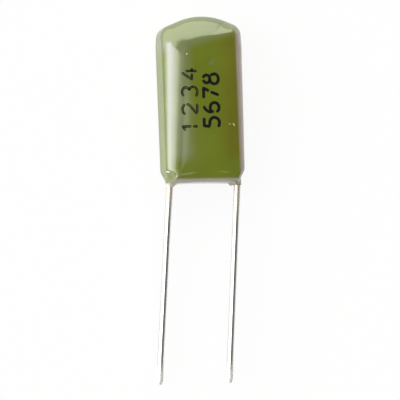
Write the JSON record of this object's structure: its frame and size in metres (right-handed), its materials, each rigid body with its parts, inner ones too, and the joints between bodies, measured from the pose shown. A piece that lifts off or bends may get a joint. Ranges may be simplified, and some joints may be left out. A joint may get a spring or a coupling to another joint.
{
  "type": "polyester film capacitor",
  "caption": "Flat epoxy-dipped film capacitor with a domed end and two long, slightly leaning radial wire leads, lying on its flat back.",
  "frame": {"origin": "middle of the flat back face that the body lies on, midway between the lead end and the top of the dome", "axes": "+Y towards the domed end, leads towards -Y; +Z out of the marked front face; X across the two leads"},
  "size_m": [0.0069, 0.0263, 0.0034],
  "materials": {
    "epoxy": "glossy green dipped epoxy",
    "film": "satin film and foil edges",
    "tinned_wire": "bright tinned wire"
  },
  "bodies": {
    "root": {"epoxy_coating": "epoxy", "film_roll": "film", "lead_left": "tinned_wire", "lead_right": "tinned_wire"}
  },
  "joints": []
}
